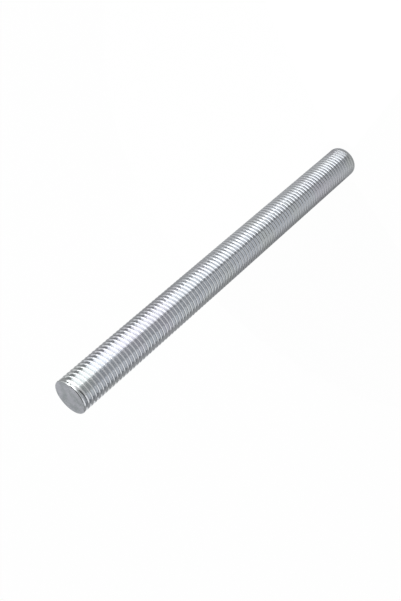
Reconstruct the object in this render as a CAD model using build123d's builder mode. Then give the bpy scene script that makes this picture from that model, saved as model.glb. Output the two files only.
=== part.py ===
from build123d import *
import os
from math import radians, tan

# Threaded rod: a length of steel stud bar with a right-hand metric coarse thread from end
# to end and square-cut ends. It stands on its lower end. The axis is +Z, the origin is the
# centre of the lower end face, and lengths are in millimetres.

# Rod
rod_length = 196.0
crest_diameter = 15.7
end_chamfer = 0.25

# Thread
thread_pitch = 2.0
thread_depth_share = 0.6134  # of the pitch
flank_angle = 60.0  # degrees between the two flanks of the groove
end_land = 1.0  # from an end face to the point where the groove runs out
runout_share = 0.3  # of one turn, in which the groove reaches its full depth
flats_per_turn = 20  # the round of the thread, kept coarse because every turn repeats it

# Worked out
crest_radius = crest_diameter / 2
face_radius = crest_radius - end_chamfer
thread_depth = thread_depth_share * thread_pitch
rise = thread_pitch / flats_per_turn
groove_steps = round((rod_length - 2 * end_land) / rise)
runout_steps = runout_share * flats_per_turn


def corner(radius, step, height):
    """The corner that lies so many flats round from the +X side."""
    return Vector(radius, 0, height).rotate(Axis.Z, 360 * step / flats_per_turn)


def groove_section(step):
    """The lower lip, root and upper lip of the V groove, so many flats up its helix."""
    depth = thread_depth * min(1, step / runout_steps, (groove_steps - step) / runout_steps)
    half_mouth = depth * tan(radians(flank_angle / 2))
    height = end_land + rise * step
    return (
        corner(crest_radius, step, height - half_mouth),
        corner(crest_radius - depth, step, height),
        corner(crest_radius, step, height + half_mouth),
    )


def flat(*corners):
    """A flat face with these corners."""
    return Face(Wire.make_polygon(corners))


def flank(edge, other_edge):
    """The triangles between a lip and the root, which meet where the groove runs out."""
    triangles = []
    for step in range(groove_steps):
        if edge[step + 1] != other_edge[step + 1]:
            triangles.append(flat(edge[step], edge[step + 1], other_edge[step + 1]))
        if edge[step] != other_edge[step]:
            triangles.append(flat(edge[step], other_edge[step + 1], other_edge[step]))
    return triangles


def crest(step):
    """The flat of the crest between one turn of the groove and the next turn up."""
    above = step + flats_per_turn
    return flat(upper_lip[step], upper_lip[step + 1], lower_lip[above + 1], lower_lip[above])


def rod_end(lip, steps, rim_height, face_height):
    """An end face, its chamfer and the land that reaches to the nearest turn of the groove.

    The steps go once round the rod, from the point where the groove runs out.
    """
    land_edge = [lip[step] for step in steps]
    rim = [corner(crest_radius, step, rim_height) for step in steps]
    face_edge = [corner(face_radius, step, face_height) for step in steps]
    faces = [flat(*face_edge[1:])]
    for side in range(flats_per_turn):
        rim_side = rim[side : side + 2]
        faces.append(flat(*rim_side, face_edge[side + 1], face_edge[side]))
        # The last flat of the land has the run-out point on its far side
        runout = land_edge[:1] if side + 1 == flats_per_turn else []
        faces.append(flat(*rim_side, *runout, land_edge[side + 1], land_edge[side]))
    return faces


# The groove climbs in equal steps, one for each flat
lower_lip, root, upper_lip = zip(*[groove_section(step) for step in range(groove_steps + 1)])
first_turn = range(flats_per_turn + 1)
last_turn = range(groove_steps, groove_steps - flats_per_turn - 1, -1)

with BuildPart() as threaded_rod:
    surface = [
        *flank(lower_lip, root),
        *flank(root, upper_lip),
        *[crest(step) for step in range(groove_steps - flats_per_turn)],
        *rod_end(lower_lip, first_turn, end_chamfer, 0),
        *rod_end(upper_lip, last_turn, rod_length - end_chamfer, rod_length),
    ]
    add(Solid(Shell(surface)))

os.makedirs("parts", exist_ok=True)
threaded_rod.part.label = "threaded_rod"
export_step(threaded_rod.part, "parts/threaded_rod.step")
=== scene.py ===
from math import atan2, cos, hypot, pi, radians, sin, tan

import bpy
from mathutils import Matrix, Quaternion, Vector


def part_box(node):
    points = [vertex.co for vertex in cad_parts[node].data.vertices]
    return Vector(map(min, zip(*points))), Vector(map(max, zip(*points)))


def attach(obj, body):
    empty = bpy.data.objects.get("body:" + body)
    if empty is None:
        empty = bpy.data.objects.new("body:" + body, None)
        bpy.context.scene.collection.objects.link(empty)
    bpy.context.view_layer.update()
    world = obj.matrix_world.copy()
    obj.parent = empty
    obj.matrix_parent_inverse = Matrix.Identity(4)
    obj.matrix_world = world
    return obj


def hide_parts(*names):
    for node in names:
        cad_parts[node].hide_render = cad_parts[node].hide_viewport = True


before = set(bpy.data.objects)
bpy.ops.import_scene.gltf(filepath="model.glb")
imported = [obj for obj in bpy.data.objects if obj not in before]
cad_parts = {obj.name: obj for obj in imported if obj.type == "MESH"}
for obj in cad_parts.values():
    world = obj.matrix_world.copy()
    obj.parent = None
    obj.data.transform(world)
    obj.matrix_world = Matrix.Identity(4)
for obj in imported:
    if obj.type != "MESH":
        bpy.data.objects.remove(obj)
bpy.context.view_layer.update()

# A cut length of zinc-plated stud bar. It stands on its lower end with its axis on +Z, and
# the lengths below are in metres.

# Rod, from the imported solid
mm = 0.001
low_corner, high_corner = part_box("threaded_rod")
rod_length = high_corner[2] - low_corner[2]
half_length = rod_length / 2
crest_radius = (high_corner[0] - low_corner[0]) / 2

# Thread, with the lead and the crests of the solid
thread_pitch = 2.0 * mm
crest_flat = 0.583 * mm
flank_half_angle = radians(30)
root_radius = 0.15 * mm
root_segments = 4
lip_ease = 0.09 * mm
lip_segments = 2
steps_per_turn = 60
end_land = 1.0 * mm  # from an end face to the point where the groove runs out
runout_turns = 0.3
sharp_edge_angle = radians(40)

half_flat = crest_flat / 2
half_groove = thread_pitch / 2 - half_flat
sharp_depth = half_groove / tan(flank_half_angle)
# The round in the root touches both flanks
root_offset = root_radius / tan(flank_half_angle)
thread_depth = sharp_depth - root_radius * (1 / sin(flank_half_angle) - 1)

# Ends
end_chamfer = 0.25 * mm
saw_angle = radians(330)

# How near points have to be to a corner, to each other, to a rim and to a cut
corner_reach = 0.01 * mm
weld_reach = 0.005 * mm
rim_reach = 0.001 * mm
cut_reach = 0.0005 * mm

# Finish of the thread. A share says how strongly a colour or a relief shows, and a range
# where it starts in its noise and where it is full.
zinc_dark = (0.568, 0.590, 0.624, 1)
zinc_light = (0.643, 0.664, 0.690, 1)
green_tint = (0.60, 0.625, 0.60, 1)
violet_tint = (0.615, 0.60, 0.65, 1)
green_range = (0.52, 0.68)
violet_range = (0.48, 0.32)
tint_share = 0.5
# Painted shade: the lower half of the groove is darkened towards this colour
root_painted_shade = (0.15, 0.155, 0.165, 1)
root_shade_range = (0.5, 1)  # of the groove's depth
root_shade_share = 0.1
seam_grey = (0.2, 0.2, 0.21, 1)
seam_share = 0.2
seam_core = 0.02 * mm
seam_edge = 0.05 * mm
dulling_range = (0.3, 0.75)
bright_roughness = 0.11
dull_roughness = 0.22
root_roughness = 0.35  # added in the root, times the painted shade there
rolling_depth = 0.004 * mm
rolling_share = 0.25
rolling_stretch = 0.04  # along the rod, so that the marks run on round the thread
grain_depth = 0.003 * mm
grain_share = 0.15

# Finish of the sawn ends, which fades in through a thin skin under each end face
skin_start = 0.06 * mm
skin_full = 0.02 * mm
sawn_dark = (0.235, 0.245, 0.272, 1)
sawn_light = (0.41, 0.42, 0.45, 1)
streak_grey = (0.44, 0.447, 0.467, 1)
streak_range = (0.35, 0.65)
streak_share = 0.3
patch_grey = (0.218, 0.241, 0.248, 1)
patch_range = (0.4, 0.64)
patch_share = 0.65
cut_range = (0.3, 0.7)
fine_cut_roughness = 0.34
coarse_cut_roughness = 0.5
saw_depth = 0.012 * mm
saw_share = 0.6
saw_stretch = 0.06  # along the cut

# Marks to a metre
clouds_per_metre = 130
tints_per_metre = 45
dulling_per_metre = 420
rolling_per_metre = 5200
grain_per_metre = 2400
saw_marks_per_metre = 2600
streaks_per_metre = 900
patches_per_metre = 300

# Camera, at a distance from the axis and aimed at a point beside it. It is rolled, so that
# the standing rod lies across the picture. Lens and sensor are in millimetres.
camera_azimuth = radians(315)
camera_distance = 292.705 * mm
camera_height = 321.255 * mm
camera_aim_aside = -5.23 * mm
camera_aim_height = 121.821 * mm
camera_roll = radians(-131.545)
camera_lens = 49.625
camera_sensor = 36
camera_nearest = 0.01

# Floor and backdrop
floor_size = 12
paper_white = (0.93, 0.93, 0.93, 1)
paper_roughness = 0.9
paper_glow = 0.985  # share of the paper that shows plain white
fill_strength = 0.42  # of the backdrop, as light on the rod

# Light tent round the rod. Left and right are as the picture shows them.
wall_radius = 0.165
bend_step = radians(8)
floor_gap = 0.2 * mm

# Azimuths of its seams from the camera's line, in degrees
right_back = -150
right_side = -100
right_corner = -48
gap_right = -4
mat_seam = 8
gap_left = 12
left_front = 54
left_corner = 70
left_side = 86
left_back = 150
behind = 180

# Heights of its seams
right_front_sill = 0.06
front_sill = 0.09
left_sill = 0.12
right_sill = 0.15
front_head = 0.18
left_head = 0.21
tent_eaves = 0.27
tent_top = 0.36

# Mat round the foot of the rod
foot_mat_inner = 8 * mm
foot_mat_outer = 12 * mm

# Ceiling, along the camera's line and across it
ceiling_height = 0.9
ceiling_back = -0.9
lamp_front = 0.15
ceiling_front = 0.7
ceiling_right = -0.9
lamp_right = 0.03
ceiling_left = 0.8

toward_camera = Vector((cos(camera_azimuth), sin(camera_azimuth), 0))
beside_camera = Vector((-sin(camera_azimuth), cos(camera_azimuth), 0))
upward = Vector((0, 0, 1))


def seen(along, across, up):
    """A vector from its parts toward the camera, across its view and up."""
    return along * toward_camera + across * beside_camera + up * upward


def deselect_all():
    for thing in bpy.context.selected_objects:
        thing.select_set(False)


def start_point(place):
    """A new mesh with one point, selected in edit mode."""
    deselect_all()
    bpy.ops.mesh.primitive_plane_add(size=mm, location=place)
    bpy.ops.object.transform_apply(location=True, rotation=True, scale=True)
    bpy.ops.object.mode_set(mode="EDIT")
    bpy.ops.mesh.select_all(action="SELECT")
    bpy.ops.mesh.merge(type="CENTER")
    return bpy.context.object


def draw_on(step):
    """In edit mode, draws an edge on from the selected point."""
    bpy.ops.mesh.extrude_region_move(TRANSFORM_OT_translate={"value": step})


def select_points(mesh, chosen):
    """In edit mode, leaves only the chosen points selected, with the edges between them."""
    bpy.ops.object.mode_set(mode="OBJECT")
    for polygon in mesh.polygons:
        polygon.select = False
    for edge in mesh.edges:
        edge.select = all(chosen(mesh.vertices[end].co) for end in edge.vertices)
    for vertex in mesh.vertices:
        vertex.select = chosen(vertex.co)
    bpy.ops.object.mode_set(mode="EDIT")
    bpy.ops.mesh.select_mode(type="VERT")


def round_points(offset, segments):
    """In edit mode, rounds the selected corners of a wire."""
    bpy.ops.mesh.bevel(offset=offset, segments=segments, profile=0.5, affect="VERTICES")


# Rod

def draw_profile():
    """One pitch of the rod's edge, from crest to crest, drawn corner by corner on the +X side."""
    rod = start_point((crest_radius, 0, -thread_pitch))
    rod.name = "rod_thread"
    draw_on((0, 0, half_flat))
    draw_on((-sharp_depth, 0, half_groove))
    draw_on((sharp_depth, 0, half_groove))
    draw_on((0, 0, half_flat))
    middle = -thread_pitch / 2
    select_points(rod.data, lambda co: abs(co.z - middle) < corner_reach)
    round_points(root_offset, root_segments)
    select_points(rod.data, lambda co: abs(abs(co.z - middle) - half_groove) < corner_reach)
    round_points(lip_ease, lip_segments)
    bpy.ops.object.mode_set(mode="OBJECT")
    return rod


def wind_thread(rod):
    """Winds the profile up the rod, a turn past each end."""
    screw = rod.modifiers.new("lead", "SCREW")
    screw.axis = "Z"
    screw.angle = 2 * pi
    screw.screw_offset = thread_pitch
    screw.iterations = round(rod_length / thread_pitch) + 1
    screw.steps = steps_per_turn
    screw.render_steps = steps_per_turn
    screw.use_merge_vertices = False
    screw.use_smooth_shade = True
    bpy.ops.object.modifier_apply(modifier=screw.name)
    bpy.ops.object.mode_set(mode="EDIT")
    bpy.ops.mesh.select_all(action="SELECT")
    bpy.ops.mesh.remove_doubles(threshold=weld_reach)
    bpy.ops.object.mode_set(mode="OBJECT")


def run_out_groove(rod):
    """Lifts the groove out of the rod near both ends, where it gets shallow and narrow."""
    for vertex in rod.data.vertices:
        x, y, z = vertex.co
        radius = hypot(x, y)
        climb = thread_pitch * (atan2(y, x) % (2 * pi)) / (2 * pi)
        turn = round((z - end_land - climb) / thread_pitch)
        groove_height = end_land + climb + turn * thread_pitch
        from_end = min(groove_height, rod_length - groove_height) - end_land
        share = min(1, max(0, from_end / thread_pitch / runout_turns))
        lifted = min(crest_radius, radius + thread_depth * (1 - share))
        vertex.co = (x * lifted / radius, y * lifted / radius, z)


def cut_end(rod, height, out):
    """Cuts the rod square, breaks the edge and closes the end. out is 1 for up, -1 for down."""
    bpy.ops.object.mode_set(mode="EDIT")
    bpy.ops.mesh.select_all(action="SELECT")
    rim_height = height - out * end_chamfer
    bpy.ops.mesh.bisect(
        plane_co=(0, 0, rim_height),
        plane_no=(0, 0, out),
        clear_outer=True,
        threshold=cut_reach,
    )
    select_points(rod.data, lambda co: abs(co.z - rim_height) < rim_reach)
    bpy.ops.mesh.extrude_edges_move(TRANSFORM_OT_translate={"value": (0, 0, out * end_chamfer)})
    inward = 1 - end_chamfer / crest_radius
    bpy.ops.transform.resize(value=(inward, inward, 1), center_override=(0, 0, height))
    bpy.ops.mesh.edge_face_add()
    bpy.ops.object.mode_set(mode="OBJECT")


def make_rod():
    rod = draw_profile()
    wind_thread(rod)
    run_out_groove(rod)
    cut_end(rod, rod_length, 1)
    cut_end(rod, 0, -1)
    bpy.ops.object.mode_set(mode="EDIT")
    bpy.ops.mesh.select_all(action="SELECT")
    bpy.ops.mesh.normals_make_consistent(inside=False)
    bpy.ops.object.mode_set(mode="OBJECT")
    bpy.ops.object.shade_smooth_by_angle(angle=sharp_edge_angle)
    # Crests and flanks shade as flat, and only the eased lips and the root round off
    flats = rod.modifiers.new("flats", "WEIGHTED_NORMAL")
    flats.keep_sharp = True
    bpy.ops.object.modifier_apply(modifier=flats.name)
    return rod


# Finish

class NodeBoard:
    """Adds nodes to a material or to the world, and joins them up."""

    def __init__(self, owner):
        owner.use_nodes = True
        self.nodes = owner.node_tree.nodes
        self.links = owner.node_tree.links

    def put(self, value, socket):
        """Sets a socket to a plain value, or joins another node's output to it."""
        if isinstance(value, bpy.types.NodeSocket):
            self.links.new(value, socket)
        else:
            socket.default_value = value

    def math(self, operation, *values):
        node = self.nodes.new("ShaderNodeMath")
        node.operation = operation
        for value, socket in zip(values, node.inputs):
            self.put(value, socket)
        return node.outputs[0]

    def spread(self, value, low, high, to_low, to_high):
        """A value stretched from one range to another, and held at its ends."""
        node = self.nodes.new("ShaderNodeMapRange")
        node.interpolation_type = "SMOOTHSTEP"
        for setting, socket in zip((value, low, high, to_low, to_high), node.inputs):
            self.put(setting, socket)
        return node.outputs[0]

    def noise(self, place, scale, detail=3, roughness=0.5):
        node = self.nodes.new("ShaderNodeTexNoise")
        self.put(place, node.inputs["Vector"])
        node.inputs["Scale"].default_value = scale
        node.inputs["Detail"].default_value = detail
        node.inputs["Roughness"].default_value = roughness
        return node.outputs["Fac"]

    def vector(self, x, y, z):
        node = self.nodes.new("ShaderNodeCombineXYZ")
        for value, socket in zip((x, y, z), node.inputs):
            self.put(value, socket)
        return node.outputs[0]

    def mix_colours(self, share, first, second):
        """Fades one colour into another. The node has its colours on sockets 6 and 7."""
        node = self.nodes.new("ShaderNodeMix")
        node.data_type = "RGBA"
        self.put(share, node.inputs[0])
        self.put(first, node.inputs[6])
        self.put(second, node.inputs[7])
        return node.outputs[2]

    def mix_numbers(self, share, first, second):
        """Fades one number into another. The node has its numbers on sockets 2 and 3."""
        node = self.nodes.new("ShaderNodeMix")
        self.put(share, node.inputs[0])
        self.put(first, node.inputs[2])
        self.put(second, node.inputs[3])
        return node.outputs[0]

    def bump(self, height, distance, strength, below=None):
        """Relief of a height map, on top of the relief below it."""
        node = self.nodes.new("ShaderNodeBump")
        self.put(height, node.inputs["Height"])
        self.put(strength, node.inputs["Strength"])
        node.inputs["Distance"].default_value = distance
        if below is not None:
            self.put(below, node.inputs["Normal"])
        return node.outputs["Normal"]


def rolled_side(board, place, radius, from_seam):
    """Colour and roughness of the thread: cool grey with faint tints, and painted shade darkening the
    root.
    """
    clouds = board.noise(place, clouds_per_metre)
    colour = board.mix_colours(clouds, zinc_dark, zinc_light)
    # Green where the tints run high, violet where they run low
    tints = board.noise(place, tints_per_metre, detail=2)
    greenish = board.spread(tints, *green_range, 0, tint_share)
    colour = board.mix_colours(greenish, colour, green_tint)
    violet = board.spread(tints, *violet_range, 0, tint_share)
    colour = board.mix_colours(violet, colour, violet_tint)
    # Painted shade in the lower half of the groove, and the seam that rolling leaves on the crest
    depth = board.spread(radius, crest_radius - thread_depth, crest_radius, 1, 0)
    root_shade = board.spread(depth, *root_shade_range, 0, root_shade_share)
    colour = board.mix_colours(root_shade, colour, root_painted_shade)
    seam = board.spread(from_seam, seam_edge, seam_core, 0, seam_share)
    colour = board.mix_colours(seam, colour, seam_grey)

    dulling = board.noise(place, dulling_per_metre, detail=4, roughness=0.6)
    roughness = board.spread(dulling, *dulling_range, bright_roughness, dull_roughness)
    roughness = board.math("MULTIPLY_ADD", root_shade, root_roughness, roughness)
    return colour, roughness


def sawn_end(board, place, along_cut, saw_marks):
    """Colour and roughness of the end faces: saw marks, paler streaks and darker patches."""
    colour = board.mix_colours(saw_marks, sawn_dark, sawn_light)
    streaks = board.noise(along_cut, streaks_per_metre)
    streaky = board.spread(streaks, *streak_range, 0, streak_share)
    colour = board.mix_colours(streaky, colour, streak_grey)
    patches = board.noise(place, patches_per_metre)
    patchy = board.spread(patches, *patch_range, 0, patch_share)
    colour = board.mix_colours(patchy, colour, patch_grey)
    roughness = board.spread(saw_marks, *cut_range, fine_cut_roughness, coarse_cut_roughness)
    return colour, roughness


def zinc_finish():
    """Bright zinc with a clear passivate on the thread, and saw marks on the ends."""
    finish = bpy.data.materials.new("bright_zinc")
    board = NodeBoard(finish)
    place = board.nodes.new("ShaderNodeTexCoord").outputs["Object"]
    split = board.nodes.new("ShaderNodeSeparateXYZ")
    board.put(place, split.inputs[0])
    x, y, z = split.outputs

    # Place across the rod, and up it within one pitch, from the seam in the middle of the crest
    radius = board.math("SQRT", board.math("MULTIPLY_ADD", y, y, board.math("MULTIPLY", x, x)))
    turn = board.math("ARCTAN2", y, x)
    lead = board.math("MULTIPLY_ADD", turn, -thread_pitch / (2 * pi), z)
    in_pitch = board.math("WRAP", lead, thread_pitch, 0)
    from_seam = board.math("PINGPONG", in_pitch, thread_pitch / 2)

    # End faces
    from_middle = board.math("ABSOLUTE", board.math("SUBTRACT", z, half_length))
    on_end = board.spread(from_middle, half_length - skin_start, half_length - skin_full, 0, 1)
    off_end = board.math("SUBTRACT", 1, on_end)
    sawing = board.nodes.new("ShaderNodeMapping")
    board.put(place, sawing.inputs["Vector"])
    sawing.inputs["Rotation"].default_value = (0, 0, saw_angle)
    sawing.inputs["Scale"].default_value = (1, saw_stretch, 1)
    along_cut = sawing.outputs["Vector"]
    saw_marks = board.noise(along_cut, saw_marks_per_metre, detail=4, roughness=0.6)

    # Rolling marks run along the thread, saw marks across the ends
    along_thread = board.vector(radius, in_pitch, board.math("MULTIPLY", z, rolling_stretch))
    rolling = board.noise(along_thread, rolling_per_metre, roughness=0.6)
    grain = board.noise(place, grain_per_metre, detail=2)
    relief = board.bump(rolling, rolling_depth, board.math("MULTIPLY", off_end, rolling_share))
    relief = board.bump(grain, grain_depth, board.math("MULTIPLY", off_end, grain_share), relief)
    relief = board.bump(saw_marks, saw_depth, board.math("MULTIPLY", on_end, saw_share), relief)

    side_colour, side_roughness = rolled_side(board, place, radius, from_seam)
    end_colour, end_roughness = sawn_end(board, place, along_cut, saw_marks)
    sockets = board.nodes["Principled BSDF"].inputs
    sockets["Metallic"].default_value = 1
    board.put(board.mix_colours(on_end, side_colour, end_colour), sockets["Base Color"])
    board.put(board.mix_numbers(on_end, side_roughness, end_roughness), sockets["Roughness"])
    board.put(relief, sockets["Normal"])
    return finish


# Studio

def add_camera():
    lens = bpy.data.cameras.new("photo_camera")
    lens.sensor_fit = "VERTICAL"
    lens.sensor_height = camera_sensor
    lens.lens = camera_lens
    lens.clip_start = camera_nearest
    camera = bpy.data.objects.new("photo_camera", lens)
    bpy.context.scene.collection.objects.link(camera)
    place = seen(camera_distance, 0, camera_height)
    view = seen(0, camera_aim_aside, camera_aim_height) - place
    turn = view.to_track_quat("-Z", "Y") @ Quaternion(upward, camera_roll)
    camera.matrix_world = Matrix.LocRotScale(place, turn, None)
    bpy.context.scene.camera = camera


def studio_rays(board):
    """1 for the rays that show the studio itself, to the camera or in the metal."""
    path = board.nodes.new("ShaderNodeLightPath").outputs
    shown = board.math("MAXIMUM", path["Is Camera Ray"], path["Is Glossy Ray"])
    return board.math("MAXIMUM", shown, path["Is Transmission Ray"])


def add_floor():
    """White paper, with a very faint shadow."""
    deselect_all()
    bpy.ops.mesh.primitive_plane_add(size=floor_size, location=(0, 0, 0))
    floor = bpy.context.object
    floor.name = "studio_floor"
    paper = bpy.data.materials.new("white_paper")
    board = NodeBoard(paper)
    shader = board.nodes["Principled BSDF"]
    shader.inputs["Base Color"].default_value = paper_white
    shader.inputs["Roughness"].default_value = paper_roughness
    shader.inputs["Specular IOR Level"].default_value = 0
    glow = board.nodes.new("ShaderNodeEmission")
    mix = board.nodes.new("ShaderNodeMixShader")
    board.put(board.math("MULTIPLY", studio_rays(board), paper_glow), mix.inputs["Fac"])
    board.put(shader.outputs["BSDF"], mix.inputs[1])
    board.put(glow.outputs["Emission"], mix.inputs[2])
    board.put(mix.outputs["Shader"], board.nodes["Material Output"].inputs["Surface"])
    floor.data.materials.append(paper)


def add_world():
    """White behind the rod, and a dimmer fill on it."""
    world = bpy.data.worlds.new("studio")
    bpy.context.scene.world = world
    board = NodeBoard(world)
    sockets = board.nodes["Background"].inputs
    sockets["Color"].default_value = (1, 1, 1, 1)
    strength = board.spread(studio_rays(board), 0, 1, fill_strength, 1)
    board.put(strength, sockets["Strength"])


def light_up(panel, name, brightness):
    """Makes a panel of one even brightness, that only reflections show."""
    panel.name = name
    cloth = bpy.data.materials.new(name)
    board = NodeBoard(cloth)
    glow = board.nodes.new("ShaderNodeEmission")
    glow.inputs["Strength"].default_value = brightness
    board.put(glow.outputs["Emission"], board.nodes["Material Output"].inputs["Surface"])
    panel.data.materials.append(cloth)
    panel.visible_camera = False


def add_curved_panel(name, azimuths, radii, heights, brightness):
    """A panel bent round the rod, from one edge swung between two azimuths."""
    first, last = (radians(azimuth) for azimuth in azimuths)
    outward = seen(cos(first), sin(first), 0)
    panel = start_point(radii[0] * outward + heights[0] * upward)
    draw_on((radii[1] - radii[0]) * outward + (heights[1] - heights[0]) * upward)
    bpy.ops.mesh.select_all(action="SELECT")
    # A positive spin turns clockwise, seen from above
    bpy.ops.mesh.spin(
        steps=round((last - first) / bend_step),
        angle=first - last,
        center=(0, 0, 0),
        axis=upward,
    )
    bpy.ops.object.mode_set(mode="OBJECT")
    light_up(panel, name, brightness)


def add_wall(name, from_azimuth, to_azimuth, low, high, brightness):
    """A panel of the tent's side."""
    azimuths = (from_azimuth, to_azimuth)
    add_curved_panel(name, azimuths, (wall_radius, wall_radius), (low, high), brightness)


def add_mat(name, from_azimuth, to_azimuth, inner, outer, brightness):
    """A panel lying on the floor."""
    azimuths = (from_azimuth, to_azimuth)
    add_curved_panel(name, azimuths, (inner, outer), (floor_gap, floor_gap), brightness)


def overhead(from_along, to_along, from_across, to_across):
    """The middle of a rectangle under the ceiling, its turn, and its two sides."""
    middle = seen((from_along + to_along) / 2, (from_across + to_across) / 2, ceiling_height)
    turn = Matrix.Rotation(camera_azimuth, 3, "Z")
    return middle, turn, to_along - from_along, to_across - from_across


def add_overhead_lamp(brightness):
    """A large softbox. The white behind it adds to it in the metal."""
    middle, turn, length, width = overhead(ceiling_back, lamp_front, lamp_right, ceiling_left)
    lamp = bpy.data.lights.new("overhead_softbox", "AREA")
    lamp.shape = "RECTANGLE"
    lamp.size = length
    lamp.size_y = width
    lamp.energy = brightness * pi * length * width
    softbox = bpy.data.objects.new("overhead_softbox", lamp)
    bpy.context.scene.collection.objects.link(softbox)
    softbox.matrix_world = Matrix.LocRotScale(middle, turn, None)
    softbox.visible_camera = False


def add_ceiling(name, from_along, to_along, from_across, to_across, brightness):
    """A flat panel beside the overhead lamp."""
    middle, turn, length, width = overhead(from_along, to_along, from_across, to_across)
    deselect_all()
    bpy.ops.mesh.primitive_plane_add(size=1)
    panel = bpy.context.object
    panel.matrix_world = Matrix.LocRotScale(middle, turn, (length, width, 1))
    light_up(panel, name, brightness)


def light_studio():
    """A tent of plain panels round the rod: bright on its left, dimmer on its right."""
    add_world()
    add_wall("front_low", gap_left, left_front, floor_gap, front_sill, brightness=1.36)
    add_wall("front_softbox", gap_left, left_corner, front_sill, front_head, brightness=2.9)
    add_wall("front_top", gap_left, left_corner, front_head, tent_eaves, brightness=1.6)
    add_wall("left_edge", left_corner, left_side, left_sill, left_head, brightness=2.5)
    add_wall("left_low", left_front, left_back, floor_gap, front_sill, brightness=0.3)
    add_wall("left_middle", left_corner, left_back, front_sill, left_sill, brightness=0.3)
    add_wall("left_high", left_side, left_back, left_sill, left_head, brightness=0.47)
    add_wall("left_top", left_corner, left_back, left_head, tent_eaves, brightness=0.47)
    add_wall("tent_rim", gap_right, left_back, tent_eaves, tent_top, brightness=0.83)
    add_wall("gap_low", gap_right, gap_left, floor_gap, front_sill, brightness=0.44)
    add_wall("gap_high", gap_right, gap_left, front_sill, tent_eaves, brightness=0.96)
    add_wall("right_front_low", right_corner, gap_right, floor_gap, right_front_sill, brightness=1.15)
    add_wall("right_front", right_corner, gap_right, right_front_sill, tent_top, brightness=0.67)
    add_wall("right_low", right_side, right_corner, floor_gap, right_sill, brightness=1.18)
    add_wall("right_high", right_side, right_corner, right_sill, tent_top, brightness=0.55)
    add_wall("right_flag", right_back, right_side, floor_gap, tent_top, brightness=0.41)

    add_overhead_lamp(brightness=1.65)
    add_ceiling(
        "overhead_flag", ceiling_back, ceiling_front, ceiling_right, lamp_right, brightness=0.14
    )
    add_ceiling(
        "overhead_front", lamp_front, ceiling_front, lamp_right, ceiling_left, brightness=0.14
    )

    add_mat("foot_mat", -behind, behind, foot_mat_inner, foot_mat_outer, brightness=0.45)
    add_mat("left_mat", mat_seam, left_corner, foot_mat_outer, wall_radius, brightness=1.95)
    add_mat("back_mat", left_corner, behind, foot_mat_outer, wall_radius, brightness=0.94)
    add_mat("right_back_mat", -behind, right_side, foot_mat_outer, wall_radius, brightness=0.13)
    add_mat("right_mat", right_side, mat_seam, foot_mat_outer, wall_radius, brightness=0.61)


rod = make_rod()
rod.data.materials.append(zinc_finish())
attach(rod, "root")
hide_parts("threaded_rod")

add_camera()
add_floor()
light_studio()
bpy.context.scene.view_settings.view_transform = "Standard"
